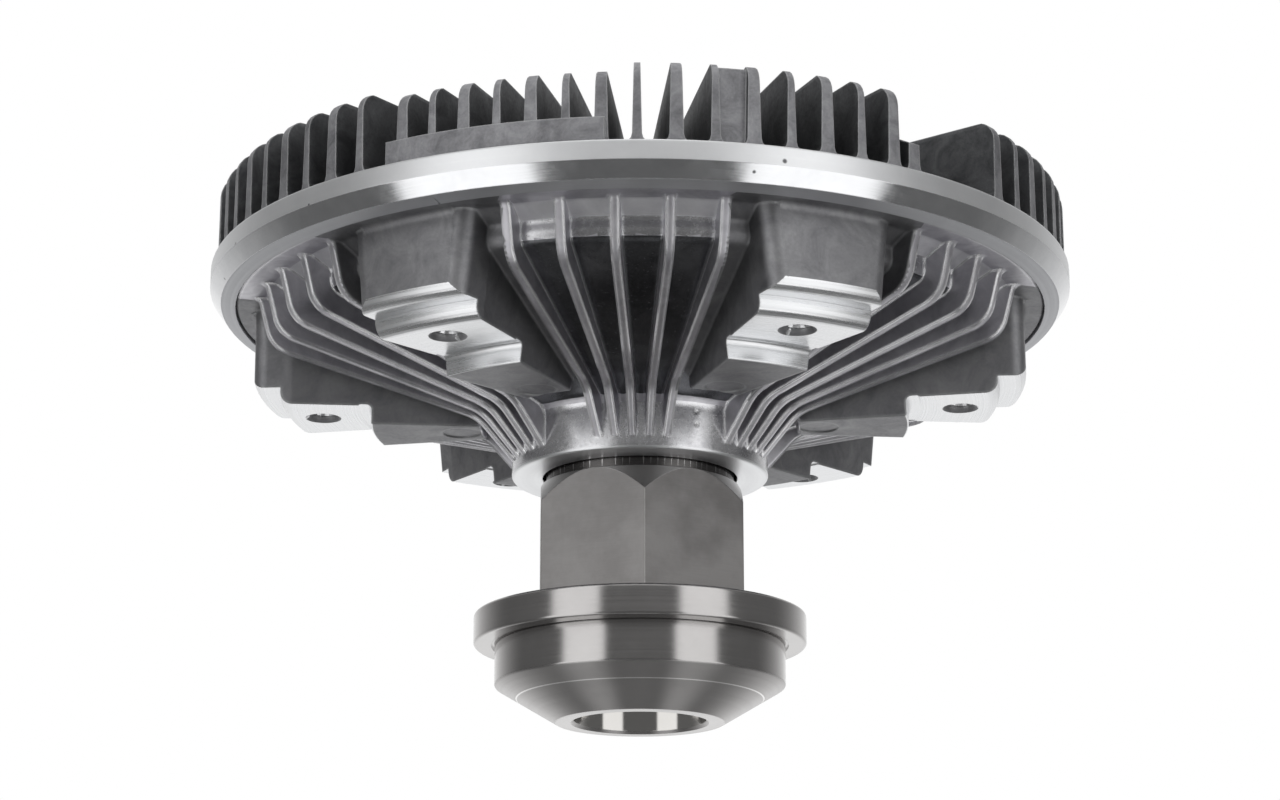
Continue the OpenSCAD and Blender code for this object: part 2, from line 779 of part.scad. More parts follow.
module low_stub() {
    turn = fin_turns[short_row_count - 1] + 3.1;
    top_z = deck_z + fin_h / 2;
    end_z = deck_z + 0.3 * fin_h;
    stub_len = 24;
    slope_len = 9;
    intersection() {
        radial_bar(turn, rim_r - stub_len, rim_r, fin_section(thick_tip, fin_top_z));
        turned([
            [rim_r - stub_len - overlap, deck_z - overlap], [rim_r, deck_z - overlap], [rim_r, end_z],
            [rim_r - slope_len, top_z, 2], [rim_r - stub_len - overlap, top_z]
        ]);
    }
}

module sector(turn, span, from_r, to_r, z, top_z) {
    rotate([0, 0, turn])
        translate([0, 0, z])
            rotate_extrude(angle = span, start = -90)
                translate([from_r, 0]) square([to_r - from_r, top_z - z]);
}

module balance_pads() {
    pad_r = rim_r - fin_setback - 0.8;
    for (pad = pads)
        sector(pad[0], pad[1], rim_r - 16, pad_r, deck_z - overlap, deck_z + pad_h);
}

// A low rib in the wide gap of the fins that holds the passage back to the reservoir
module return_duct() {
    half_w = duct_d / 2 + 2.5;
    top_z = duct_z + duct_d / 2 + 2.2;
    intersection() {
        radial_bar(duct_turn, reservoir_r + 3, chamber_r + 6, [
            [-half_w - 1, deck_z - overlap], [half_w + 1, deck_z - overlap],
            [half_w, top_z], [-half_w, top_z]
        ]);
        turned([
            [reservoir_r + 2, deck_z - overlap], [chamber_r + 6, deck_z - overlap], [chamber_r + 5, deck_z],
            [chamber_r - 1, top_z, 3], [reservoir_r + 2, top_z]
        ]);
    }
}

// Two posts on the dome that hold the outer tab of the bimetal coil between them
module coil_posts() {
    post_w = 3.4;
    for (side = [-1, 1])
        translate([side * (slot_w + post_w) / 2, -coil_out_r - tab_len / 2 - 1, (dome_z + spindle_top_z) / 2])
            cube([post_w, tab_len, spindle_top_z - dome_z + 2 * overlap - 2], center = true);
}

module cover_holes() {
    translate([0, 0, spindle_boss_z - overlap])
        cylinder(r = spindle_r + spindle_play, h = spindle_boss_top_z - spindle_boss_z + 2 * overlap);
    for_screws()
        translate([0, 0, plate_top_z - overlap])
            cylinder(d = screw_d + 2 * press_gap, h = screw_grip + 2 * overlap);
    rotate([0, 0, duct_turn]) {
        translate([0, -reservoir_r + 3, duct_z])
            rotate([90, 0, 0]) cylinder(d = duct_d, h = rotor_r - reservoir_r + 1);
        translate([0, -rotor_r + duct_d / 2, cover_ring_z - overlap])
            cylinder(d = duct_d, h = duct_z - cover_ring_z + overlap);
        translate([0, -fill_r, roof_z - overlap]) cylinder(d = fill_d, h = roof_t + 2 * overlap);
        translate([0, -fill_r, dome_z - fill_plug_t]) cylinder(d = fill_plug_d, h = fill_plug_t + overlap);
    }
    sector(wiper_turn - 0.1, wiper_span + 0.2, rotor_r + 0.45, chamber_r, ceiling_z - overlap,
        ceiling_z + wiper_tongue);
}

module for_screws() {
    for (i = [0 : screw_count - 1])
        rotate([0, 0, (i + 0.5) * 360 / screw_count]) translate([0, -screw_r, 0]) children();
}

module cover_seal_ring() {
    color("#1d1d1f") torus(joint_seal_r, joint_seal_d / 2, joint_z - joint_seal_d / 2 - seat_gap / 2);
}

// Driven disc on the shaft, with annular lands that run between those of the cover
module rotor() {
    hub_top_z = disc_top_z + 0.4;
    color("#9a9ca0")
    difference() {
        turned(concat(
            [
                [rotor_seat_d / 2, bearing_top_z], [rotor_hub_r, bearing_top_z],
                [rotor_hub_r, disc_z, 2], [rotor_r, disc_z, edge], [rotor_r, ring_top_z],
            ],
            [for (i = [0 : ring_total - 1])
                each let(r = rotor_ring_r(i))
                    [each i == 0 ? [] : [[r + ring_w / 2, disc_top_z], [r + ring_w / 2, ring_top_z]],
                     [r - ring_w / 2, ring_top_z], [r - ring_w / 2, disc_top_z]]],
            [
                [rotor_seat_d / 2 + 8, disc_top_z], [rotor_seat_d / 2 + 8, hub_top_z],
                [rotor_seat_d / 2, hub_top_z]
            ]
        ));
        for (i = [0 : feed_count - 1])
            rotate([0, 0, (i + 0.5) * 360 / feed_count])
                translate([0, -(rotor_hub_r + ring_inner_r) / 2, disc_z - overlap])
                    cylinder(d = feed_d, h = rotor_t + 2 * overlap);
    }
}

module separator_plate() {
    color("#a9abad")
    difference() {
        translate([0, 0, plate_z]) cylinder(r = plate_r, h = plate_t);
        rotate([0, 0, gate_turn])
            translate([0, -gate_r, plate_z - overlap]) cylinder(d = gate_d, h = plate_t + 2 * overlap);
        for_screws()
            translate([0, 0, plate_z - overlap])
                cylinder(d = screw_d + 0.4, h = plate_t + 2 * overlap);
    }
}

module separator_screws() {
    head_h = 0.42 * screw_d;
    slot = 0.25 * screw_d;
    color("#8c8f93")
    for_screws()
        translate([0, 0, plate_z - head_h])
            difference() {
                union() {
                    cylinder(d1 = 1.6 * screw_d, d2 = 1.9 * screw_d, h = head_h);
                    cylinder(d = screw_d, h = head_h + plate_t + screw_grip);
                }
                translate([-screw_d, -slot / 2, -overlap]) cube([2 * screw_d, slot, overlap + slot]);
            }
}

// Block at the rotor's edge that drives the fluid back to the reservoir
module pump_wiper() {
    color("#b59a62")
    union() {
        sector(wiper_turn, wiper_span, rotor_r + 0.5, chamber_r - 0.15, disc_z + 0.4, ceiling_z);
        sector(wiper_turn, wiper_span, rotor_r + 0.5, chamber_r - 0.15, ceiling_z - overlap,
            ceiling_z + wiper_tongue - seat_gap);
    }
}

module fill_plug() {
    color("#b5b8bb")
    rotate([0, 0, duct_turn])
        translate([0, -fill_r, dome_z - fill_plug_t])
            difference() {
                cylinder(d = fill_plug_d - 2 * press_gap, h = fill_plug_t - 0.3);
                translate([0, 0, 1]) cylinder(d = fill_plug_d - 3, h = fill_plug_t);
            }
}

// Spindle of the valve: spigot for the arm, flange, seal groove, clip groove and slot for the coil
module valve_spindle() {
    groove_r = spindle_r - spindle_seal_d;
    half_w = 0.6 * spindle_seal_d;
    color("#9da0a3")
    difference() {
        turned([
            [0, arm_z], [spindle_r - 1, arm_z], [spindle_r - 1, spindle_flange_z],
            [spindle_r + 2.5, spindle_flange_z], [spindle_r + 2.5, spindle_boss_z - run_gap],
            [spindle_r, spindle_boss_z - run_gap], [spindle_r, groove_z - half_w],
            [groove_r, groove_z - half_w],
            [groove_r, groove_z + half_w], [spindle_r, groove_z + half_w], [spindle_r, clip_z],
            [spindle_r - 1, clip_z], [spindle_r - 1, clip_z + clip_t], [spindle_r, clip_z + clip_t],
            [spindle_r, spindle_top_z, 0.5], [0, spindle_top_z]
        ]);
        translate([0, 0, coil_z + strip_w / 2 + overlap / 2])
            cube([slot_w, 2 * spindle_d, strip_w + overlap], center = true);
    }
}

module spindle_seal() {
    section_r = (spindle_seal_d - seat_gap) / 2;
    color("#1d1d1f") torus(spindle_r - spindle_seal_d + section_r + press_gap, section_r, groove_z);
}

module spindle_clip() {
    color("#6d7074")
    difference() {
        ring(spindle_r + 2.5, spindle_r - 1 + press_gap, clip_z + press_gap, clip_t - 2 * press_gap);
        translate([-spindle_r + 1.2, 0, clip_z - overlap]) cube([spindle_d - 2.4, far, clip_t + 2 * overlap]);
    }
}

// Sheet arm that covers the gate of the separator plate when the valve is shut
module valve_arm() {
    hub_w = spindle_r + 3;
    tip_w = gate_d / 2 + 2;
    color("#a9abad")
    rotate([0, 0, gate_turn])
        translate([0, 0, arm_z])
            difference() {
                union() {
                    cylinder(r = hub_w, h = arm_t);
                    translate([0, -gate_r, 0]) cylinder(r = tip_w, h = arm_t);
                    linear_extrude(arm_t)
                        polygon([[-hub_w + 1, 0], [-tip_w + 1, -gate_r],
                            [tip_w - 1, -gate_r], [hub_w - 1, 0]]);
                }
                translate([0, 0, -overlap]) cylinder(r = spindle_r - 1 + press_gap, h = arm_t + 2 * overlap);
            }
}

// Flat spiral of bimetal strip, from the spindle's slot to the posts on the dome
module bimetal_coil() {
    steps = 24 * coil_turns;
    function spiral(i, side) =
        let(a = 360 * coil_turns * i / steps, r = coil_in_r + coil_pitch * a / 360 + side * strip_t / 2)
        [r * sin(a), -r * cos(a)];
    color("#8f7f6a")
    translate([0, 0, coil_z])
        linear_extrude(strip_w)
            union() {
                polygon(concat([for (i = [0 : steps]) spiral(i, 1)],
                    [for (i = [steps : -1 : 0]) spiral(i, -1)]));
                translate([-strip_t / 2, -coil_in_r - strip_t / 2])
                    square([strip_t, coil_in_r + spindle_r + strip_t / 2]);
                translate([-strip_t / 2, -coil_out_r - tab_len])
                    square([strip_t, tab_len + strip_t / 2]);
            }
}

drive_shaft();
bearing_inner_ring();
rotor();
bearing_balls();
bearing_cage();
bearing_outer_ring();
bearing_rear_seal();
bearing_front_seal();
bearing_retaining_ring();
rear_housing();
front_cover();
cover_seal_ring();
separator_plate();
separator_screws();
pump_wiper();
fill_plug();
valve_spindle();
valve_arm();
spindle_seal();
spindle_clip();
bimetal_coil();
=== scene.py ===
import json
import math
from types import SimpleNamespace

import bmesh
import bpy
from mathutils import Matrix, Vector


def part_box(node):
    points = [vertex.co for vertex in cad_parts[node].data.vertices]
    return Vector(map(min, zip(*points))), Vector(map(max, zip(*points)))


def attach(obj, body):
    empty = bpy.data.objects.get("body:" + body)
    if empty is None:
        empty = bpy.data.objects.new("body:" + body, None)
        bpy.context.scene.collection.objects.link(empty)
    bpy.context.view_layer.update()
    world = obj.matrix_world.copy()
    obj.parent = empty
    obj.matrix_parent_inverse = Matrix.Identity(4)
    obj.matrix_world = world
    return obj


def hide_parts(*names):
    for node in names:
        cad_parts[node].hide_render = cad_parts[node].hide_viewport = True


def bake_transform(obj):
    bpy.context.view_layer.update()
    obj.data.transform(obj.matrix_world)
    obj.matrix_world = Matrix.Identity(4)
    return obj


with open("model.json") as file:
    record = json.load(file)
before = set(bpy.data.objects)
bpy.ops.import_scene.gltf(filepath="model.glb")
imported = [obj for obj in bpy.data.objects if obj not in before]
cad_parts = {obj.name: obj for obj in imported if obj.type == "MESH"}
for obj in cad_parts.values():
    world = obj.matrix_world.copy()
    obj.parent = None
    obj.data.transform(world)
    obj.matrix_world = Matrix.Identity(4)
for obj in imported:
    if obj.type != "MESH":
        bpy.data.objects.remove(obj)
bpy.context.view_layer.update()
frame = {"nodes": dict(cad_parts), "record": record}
cad = frame["nodes"]
mm = 0.001
print("frame loaded:", len(cad), "nodes")

# sizes in metres, and the mounts, that the finishes and the threads need, read off the frame
sizes = {
    "rimRadius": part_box("front_cover")[1].x,
    "hubFace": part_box("rear_housing")[0].z,
    "mounts": {m["name"]: m for m in frame["record"]["mounts"]},
}
sizes["fanSeat"] = sizes["mounts"]["fan_seat"]["pos_m"][2]


def fromHex(code):
    # sRGB hex to the linear colour that the shaders take
    parts = [int(code[i:i + 2], 16) / 255 for i in (1, 3, 5)]
    return [c / 12.92 if c <= 0.04045 else ((c + 0.055) / 1.055) ** 2.4 for c in parts] + [1.0]


def addNode(tree, kind, inputs=None, **settings):
    node = tree.nodes.new(kind)
    for name, value in settings.items():
        setattr(node, name, value)
    for name, value in (inputs or {}).items():
        if isinstance(value, bpy.types.NodeSocket):
            tree.links.new(value, node.inputs[name])
        else:
            node.inputs[name].default_value = value
    return node


# camera: stands below the clutch and looks up at its underside
shot = {
    "imageWidth": 1280,
    "focalPixels": 2983.4,
    "distance": 882.5 * mm,
    "climb": math.radians(15.6),
    "targetHeight": 74.15 * mm,
    "sensorWidth": 36.0,
    "nearest": 10 * mm,
}


def makeCamera():
    data = bpy.data.cameras.new("camera")
    data.sensor_width = shot["sensorWidth"]
    data.lens = shot["focalPixels"] / shot["imageWidth"] * shot["sensorWidth"]
    data.clip_start = shot["nearest"]
    camera = bpy.data.objects.new("camera", data)
    bpy.context.scene.collection.objects.link(camera)
    ahead = Vector((0, math.cos(shot["climb"]), math.sin(shot["climb"])))
    camera.location = Vector((0, 0, shot["targetHeight"])) - ahead * shot["distance"]
    camera.rotation_euler = ahead.to_track_quat("-Z", "Y").to_euler()
    bpy.context.scene.camera = camera


# studio: white backdrop behind, a dim room in front with two tall strip lights, pale floor below
studio = {
    "backdrop": "#ffffff",
    # the backdrop is gone at the first of each pair and full from the second on
    "backdropTurn": (78, 5),    # degrees from straight behind
    "backdropClimb": (-66, -22),
    "backdropTop": (0.95, 0.6),  # height of a direction, where 1 is straight up
    # climbs between which the room's level rises, and what each rise adds before and after
    "room": [(-40, -15, 0.125, 0.15), (13, 27, 0.0, 0.22), (50, 75, 0.0, 0.9)],
    "stripTurn": (28.9, 65.3),  # each strip light spans these turns, to the left and to the right
    "stripSplay": (6.9, 16),    # how far its inner and outer edge lean out, below the horizon
    "stripClimb": (-64, 34),
    "stripSoft": 2.5,           # half the width over which its edges fade
    "stripLevel": 1.15,
    "floor": "#d4d4d4",
    "floorRoughness": 0.9,
    "floorHeight": -1.5,
    "floorRadius": 0.25,
    "floorSides": 96,
    "fillPower": 1.2,
    "fillSize": 0.9,
    "fillPlace": (0.0, -1.1, 0.9),
    "fillAim": (0.0, 0.0, 0.1),
}


def heightOf(climb):
    # how high a direction with this climb points, where 1 is straight up
    return math.sin(math.radians(climb))


def multiplyFades(tree, fades):
    # each fade goes smoothly from nothing at the first end of its value to full at the second
    product = None
    for value, gone, full in fades:
        fade = addNode(tree, "ShaderNodeMapRange", {
            "Value": value, "From Min": gone, "From Max": full}, interpolation_type="SMOOTHSTEP").outputs[0]
        product = fade if product is None else addNode(
            tree, "ShaderNodeMath", {0: product, 1: fade}, operation="MULTIPLY").outputs[0]
    return product


def makeWorld():
    v = studio
    world = bpy.data.worlds.new("studio")
    bpy.context.scene.world = world
    world.use_nodes = True
    tree = world.node_tree
    tree.nodes.clear()
    aim = addNode(tree, "ShaderNodeTexCoord").outputs["Generated"]
    axes = addNode(tree, "ShaderNodeSeparateXYZ", {"Vector": aim})
    height = axes.outputs["Z"]
    side = addNode(tree, "ShaderNodeMath", {0: axes.outputs["X"]}, operation="ABSOLUTE").outputs[0]
    # the backdrop fades into the room towards the sides, far below and overhead
    away = addNode(tree, "ShaderNodeMath", {0: side, 1: axes.outputs["Y"]}, operation="ARCTAN2").outputs[0]
    edges = [math.radians(t) for t in v["backdropTurn"]]
    ends = [heightOf(c) for c in v["backdropClimb"]]
    backdrop = multiplyFades(tree, [(away, *edges), (height, *ends), (height, *v["backdropTop"])])
    room = None
    for low, high, start, end in v["room"]:
        rise = addNode(tree, "ShaderNodeMapRange", {
            "Value": height, "From Min": heightOf(low), "From Max": heightOf(high),
            "To Min": start, "To Max": end}, interpolation_type="SMOOTHSTEP").outputs[0]
        room = rise if room is None else addNode(tree, "ShaderNodeMath", {0: room, 1: rise}).outputs[0]
    level = addNode(tree, "ShaderNodeMapRange", {"Value": backdrop, "To Min": room, "To Max": 1.0})
    # the strips mirror each other, so the turn is taken from the size of x
    front = addNode(tree, "ShaderNodeMath", {0: axes.outputs["Y"], 1: -1.0}, operation="MULTIPLY")
    turn = addNode(tree, "ShaderNodeMath", {0: side, 1: front.outputs[0]}, operation="ARCTAN2")
    inner, outer = (addNode(tree, "ShaderNodeMath", {
        0: height, 1: math.radians(t), 2: turn.outputs[0]}, operation="MULTIPLY_ADD").outputs[0]
        for t in v["stripSplay"])
    soft = math.radians(v["stripSoft"])
    edges = [math.radians(t) for t in v["stripTurn"]]
    ends = [heightOf(c) for c in v["stripClimb"]]
    strip = multiplyFades(tree, [
        (inner, edges[0] - soft, edges[0] + soft), (outer, edges[1] + soft, edges[1] - soft),
        (height, ends[0] - soft, ends[0] + soft), (height, ends[1] + soft, ends[1] - soft)])
    level = addNode(tree, "ShaderNodeMath", {
        0: strip, 1: v["stripLevel"], 2: level.outputs[0]}, operation="MULTIPLY_ADD")
    white = fromHex(v["backdrop"])
    lit = addNode(tree, "ShaderNodeBackground", {"Color": white, "Strength": level.outputs[0]})
    seen = addNode(tree, "ShaderNodeBackground", {"Color": white, "Strength": 1.0})
    camera = addNode(tree, "ShaderNodeLightPath").outputs["Is Camera Ray"]
    mixed = addNode(tree, "ShaderNodeMixShader", {0: camera, 1: lit.outputs[0], 2: seen.outputs[0]})
    addNode(tree, "ShaderNodeOutputWorld", {"Surface": mixed.outputs[0]})


def makeFillLight():
    lamp = bpy.data.lights.new("fill_light", "AREA")
    lamp.size = studio["fillSize"]
    lamp.energy = studio["fillPower"]
    fill = bpy.data.objects.new("fill_light", lamp)
    bpy.context.scene.collection.objects.link(fill)
    fill.location = studio["fillPlace"]
    fill.rotation_euler = (Vector(studio["fillAim"]) - fill.location).to_track_quat("-Z", "Y").to_euler()


def makeFloor():
    bm = bmesh.new()
    bmesh.ops.create_circle(bm, cap_ends=True, segments=studio["floorSides"], radius=studio["floorRadius"])
    bmesh.ops.translate(bm, verts=bm.verts, vec=(0, 0, studio["floorHeight"]))
    mesh = bpy.data.meshes.new("floor")
    bm.to_mesh(mesh)
    bm.free()
    floor = bpy.data.objects.new("floor", mesh)
    bpy.context.scene.collection.objects.link(floor)
    paint = bpy.data.materials.new("matt_floor_paint")
    paint.use_nodes = True
    shader = paint.node_tree.nodes["Principled BSDF"]
    shader.inputs["Base Color"].default_value = fromHex(studio["floor"])
    shader.inputs["Roughness"].default_value = studio["floorRoughness"]
    mesh.materials.append(paint)


makeCamera()
makeWorld()
makeFillLight()
makeFloor()
bpy.context.scene.view_settings.view_transform = "Standard"
print("studio ready")

# shading that the finishes share
shading = {
    "noise": {"From Min": 0.3, "From Max": 0.7},    # nearly all of a noise lies in here
    # how closely the rounded normal follows the true one where an edge's lightening starts and where it is
    # full; the lightening is partly wear and partly painted highlight
    "wear": {"From Min": 0.995, "From Max": 0.84},
    "edgeSamples": 4,
}


def startMaterial(name):
    material = bpy.data.materials.new(name)
    material.use_nodes = True
    material.node_tree.nodes.clear()
    return material, material.node_tree


def endMaterial(tree, inputs):
    shader = addNode(tree, "ShaderNodeBsdfPrincipled", inputs)
    addNode(tree, "ShaderNodeOutputMaterial", {"Surface": shader.outputs[0]})


def onTurn(turn, radius, height):
    # a place given as a turn from the camera's side, a radius and a height, in degrees and millimetres
    angle = math.radians(turn)
    return Vector((radius * math.sin(angle), -radius * math.cos(angle), height)) * mm


def rubAndHighlightEdges(tree, edge, colour, wearAndHighlight):
    # an edge shows where the rounded normal leaves the true one, and there its colour is painted towards a
    # pale one, partly as wear and partly as painted highlight
    true = addNode(tree, "ShaderNodeNewGeometry").outputs["Normal"]
    bend = addNode(tree, "ShaderNodeVectorMath", {
        0: edge, 1: true}, operation="DOT_PRODUCT").outputs["Value"]
    wearAndHighlightShare = addNode(tree, "ShaderNodeMapRange", {"Value": bend, **shading["wear"]}).outputs[0]
    rubbedAndHighlighted = addNode(tree, "ShaderNodeMix", {
        0: wearAndHighlightShare, "A": colour, "B": fromHex(wearAndHighlight)}, data_type="RGBA").outputs["Result"]
    return wearAndHighlightShare, rubbedAndHighlighted


# turned steel: fine circular tool marks that draw the strip lights out into upright streaks
turnedSteel = {
    "light": "#c1bfbe",
    "dark": "#a9a7a6",
    "markWidth": 0.6 * mm,
    "markDepth": 0.05 * mm,
    "markStrength": 0.12,
    "stainSize": 22 * mm,
    "stainShare": 0.25,         # how much of the change in gloss is stains rather than tool marks
    "roughness": (0.14, 0.24),
    "streak": 0.7,
    "edgeRadius": 0.4 * mm,
    "lean": 0.0,                # degrees by which its normals are leant downwards
    "scribe": None,             # height of a scribed ring
    "scribeHalf": 0.12 * mm,
    "scribeColour": "#f4f3f2",
    "pits": [],                 # turn, radius, height and size of each small pit
    "pitColour": "#2e2e30",
    "pitShade": 0.85,
}
# the neck under the hub: its steel is painted darker than the rest of the shaft, as painted shade from the
# hub above
neckSteelPaintedShade = dict(turnedSteel, light="#676564", dark="#555352", roughness=(0.22, 0.32))
# nose of the shaft: coarser turning marks, so faint streaks run down it, and a scribed ring
noseSteel = dict(turnedSteel, roughness=(0.34, 0.42), streak=0.95, scribe=-15.4 * mm)
# bore of the shaft: reamed bright, and shaded as slightly bell-mouthed so that it mirrors the strips
reamedSteel = dict(turnedSteel, light="#d4d2cf", dark="#c2c0bd", roughness=(0.06, 0.14), lean=15.0)
# bearing steel: ground and polished, nearly a mirror
bearingSteel = dict(turnedSteel, light="#d3d5d7", dark="#c3c5c8", markWidth=0.3 * mm,
                    roughness=(0.08, 0.16), streak=0.4)
# cut aluminium: bright faces with the fine rings that a lathe leaves
cutAluminium = dict(turnedSteel, light="#f2f3f4", dark="#dddee0", markWidth=0.5 * mm, stainSize=16 * mm,
                    roughness=(0.22, 0.36), streak=0.0)
# hub face: as bright, but with coarser rings
hubFace = dict(cutAluminium, markWidth=0.9 * mm, roughness=(0.3, 0.42), streak=0.4)
# rotor: turned all over, a little greyer from the fluid
rotorAluminium = dict(cutAluminium, light="#d3d4d6", dark="#babbbe", roughness=(0.2, 0.32), streak=0.5)
# rolled rim: the upright band is left as turned, the chamfer is burnished by the roller, the lip is duller
rimBand = dict(cutAluminium, light="#f0f1f2", dark="#dadbdd", roughness=(0.3, 0.42),
               pits=[(-63, 126.9, 103.5, 0.5), (-44.6, 126.9, 103.5, 0.45), (17.2, 127, 104.6, 0.8)])
burnishedChamfer = dict(cutAluminium, light="#f4f5f6", dark="#d4d5d8", stainSize=9 * mm, stainShare=0.7,
                        roughness=(0.06, 0.2), streak=0.2,
                        pits=[(-72.7, 124.5, 99.8, 0.5), (13.6, 125.6, 101.4, 0.6)])
rolledLip = dict(cutAluminium, light="#d2d3d6", dark="#b8b9bc", roughness=(0.44, 0.58), streak=0.3,
                 pits=[(-49.7, 122.5, 97.8, 0.5)])


def makeTurned(name, v):
    material, tree = startMaterial(name)
    # distance from the spin axis and height, in which a lathe's marks are straight lines
    place = addNode(tree, "ShaderNodeTexCoord").outputs["Object"]
    axes = addNode(tree, "ShaderNodeSeparateXYZ", {"Vector": place})
    flat = addNode(tree, "ShaderNodeVectorMath", {0: place, 1: (1, 1, 0)}, operation="MULTIPLY")
    radius = addNode(tree, "ShaderNodeVectorMath", {0: flat.outputs[0]}, operation="LENGTH").outputs["Value"]
    rings = addNode(tree, "ShaderNodeCombineXYZ", {"X": radius, "Y": axes.outputs["Z"]}).outputs[0]
    marks = addNode(tree, "ShaderNodeTexNoise", {
        "Vector": rings, "Scale": 1 / v["markWidth"], "Detail": 3, "Roughness": 0.6}).outputs["Fac"]
    stain = addNode(tree, "ShaderNodeTexNoise", {
        "Vector": place, "Scale": 1 / v["stainSize"], "Detail": 5, "Roughness": 0.65}).outputs["Fac"]
    colour = addNode(tree, "ShaderNodeMix", {
        0: stain, "A": fromHex(v["dark"]), "B": fromHex(v["light"])}, data_type="RGBA").outputs["Result"]
    for turn, pitRadius, height, size in v["pits"]:
        off = addNode(tree, "ShaderNodeVectorMath", {
            0: place, 1: onTurn(turn, pitRadius, height)}, operation="DISTANCE")
        pit = addNode(tree, "ShaderNodeMapRange", {
            "Value": off.outputs["Value"], "From Min": size * mm, "From Max": 0.5 * size * mm,
            "To Max": v["pitShade"]})
        colour = addNode(tree, "ShaderNodeMix", {
            0: pit.outputs[0], "A": colour, "B": fromHex(v["pitColour"])},
            data_type="RGBA").outputs["Result"]
    if v["scribe"] is not None:
        line = addNode(tree, "ShaderNodeMath", {
            0: axes.outputs["Z"], 1: v["scribe"], 2: v["scribeHalf"]}, operation="COMPARE").outputs[0]
        colour = addNode(tree, "ShaderNodeMix", {
            0: line, "A": colour, "B": fromHex(v["scribeColour"])}, data_type="RGBA").outputs["Result"]
    wear = addNode(tree, "ShaderNodeMix", {0: v["stainShare"], "A": marks, "B": stain}).outputs["Result"]
    smooth, dull = v["roughness"]
    rough = addNode(tree, "ShaderNodeMapRange", {
        "Value": wear, **shading["noise"], "To Min": smooth, "To Max": dull})
    edge = addNode(tree, "ShaderNodeBevel", {"Radius": v["edgeRadius"]}, samples=shading["edgeSamples"])
    tilt = (0, 0, -math.tan(math.radians(v["lean"])))
    leant = addNode(tree, "ShaderNodeVectorMath", {0: edge.outputs[0], 1: tilt}, operation="ADD")
    bump = addNode(tree, "ShaderNodeBump", {
        "Strength": v["markStrength"], "Distance": v["markDepth"], "Height": marks,
        "Normal": leant.outputs[0]})
    tangent = addNode(tree, "ShaderNodeTangent", direction_type="RADIAL", axis="Z")
    endMaterial(tree, {
        "Base Color": colour, "Metallic": 1.0, "Roughness": rough.outputs[0], "Anisotropic": v["streak"],
        "Anisotropic Rotation": 0.25, "Tangent": tangent.outputs[0], "Normal": bump.outputs[0]})
    return material


# milled steel: the hexagon's flats, duller than the turned faces, with faint level cutter marks
milledSteel = {
    "light": "#9c9a99",
    "dark": "#7b7978",
    "wearAndHighlight": "#d6d4d2",
    "markSize": (7 * mm, 0.22 * mm),    # across and upright
    "markDepth": 0.04 * mm,
    "markStrength": 0.15,
    "stainSize": 30 * mm,
    "stainSpan": (0.4, 0.6),            # part of the stains' noise that is drawn out over both colours
    "stainShare": 0.7,                  # how much of the change in colour is stains rather than marks
    "roughness": (0.3, 0.46),
    "edgeRadius": 0.4 * mm,
}
# rolled sheet: plate and arm, smooth with fine even marks
sheetSteel = dict(milledSteel, light="#b6b8ba", dark="#9da0a3", markSize=(0.4 * mm, 0.4 * mm),
                  roughness=(0.24, 0.36))
# bimetal strip: a warm grey, with fine level lines along the strip
bimetalStrip = dict(milledSteel, light="#b4a48c", dark="#8f8272", markSize=(3 * mm, 0.3 * mm),
                    roughness=(0.26, 0.4))


def makeMilled(name, v):
    material, tree = startMaterial(name)
    place = addNode(tree, "ShaderNodeTexCoord").outputs["Object"]
    across, upright = (1 / size for size in v["markSize"])
    stretched = addNode(tree, "ShaderNodeVectorMath", {
        0: place, 1: (across, across, upright)}, operation="MULTIPLY")
    marks = addNode(tree, "ShaderNodeTexNoise", {
        "Vector": stretched.outputs[0], "Scale": 1.0, "Detail": 3, "Roughness": 0.6}).outputs["Fac"]
    stain = addNode(tree, "ShaderNodeTexNoise", {
        "Vector": place, "Scale": 1 / v["stainSize"], "Detail": 5, "Roughness": 0.6}).outputs["Fac"]
    low, high = v["stainSpan"]
    spread = addNode(tree, "ShaderNodeMapRange", {
        "Value": stain, "From Min": low, "From Max": high}).outputs[0]
    tone = addNode(tree, "ShaderNodeMix", {0: v["stainShare"], "A": marks, "B": spread}).outputs["Result"]
    skin = addNode(tree, "ShaderNodeMix", {
        0: tone, "A": fromHex(v["dark"]), "B": fromHex(v["light"])}, data_type="RGBA").outputs["Result"]
    smooth, dull = v["roughness"]
    rough = addNode(tree, "ShaderNodeMapRange", {
        "Value": stain, **shading["noise"], "To Min": smooth, "To Max": dull})
    edge = addNode(tree, "ShaderNodeBevel", {
        "Radius": v["edgeRadius"]}, samples=shading["edgeSamples"]).outputs[0]
    colour = rubAndHighlightEdges(tree, edge, skin, v["wearAndHighlight"])[1]
    bump = addNode(tree, "ShaderNodeBump", {
        "Strength": v["markStrength"], "Distance": v["markDepth"], "Height": marks, "Normal": edge})
    endMaterial(tree, {
        "Base Color": colour, "Metallic": 1.0, "Roughness": rough.outputs[0], "Normal": bump.outputs[0]})
    return material


# die-cast aluminium: grey skin with flow marks and fine grain, with its edges painted bright, partly as wear
# and partly as painted highlight
castSkin = {
    "light": "#d0cfd3",
    "dark": "#a4a3a9",
    "wearAndHighlight": "#f2f3f4",
    "flowSize": 11 * mm,
    "grainSize": 0.9 * mm,
    "grainDepth": 0.12 * mm,
    "grainStrength": 0.12,
    "roughness": (0.24, 0.4),
    "polish": 0.0,              # how much of its roughness a rubbed edge has lost
    "edgeRadius": 1.3 * mm,
}
# the housing's ribs are smooth, with edges polished by handling and painted nearly white, partly as wear and
# partly as painted highlight
ribSkin = dict(castSkin, light="#e0dfe3", dark="#b8b7bd", wearAndHighlight="#fafafb", grainStrength=0.03,
               roughness=(0.4, 0.5), polish=0.8, edgeRadius=1.6 * mm)
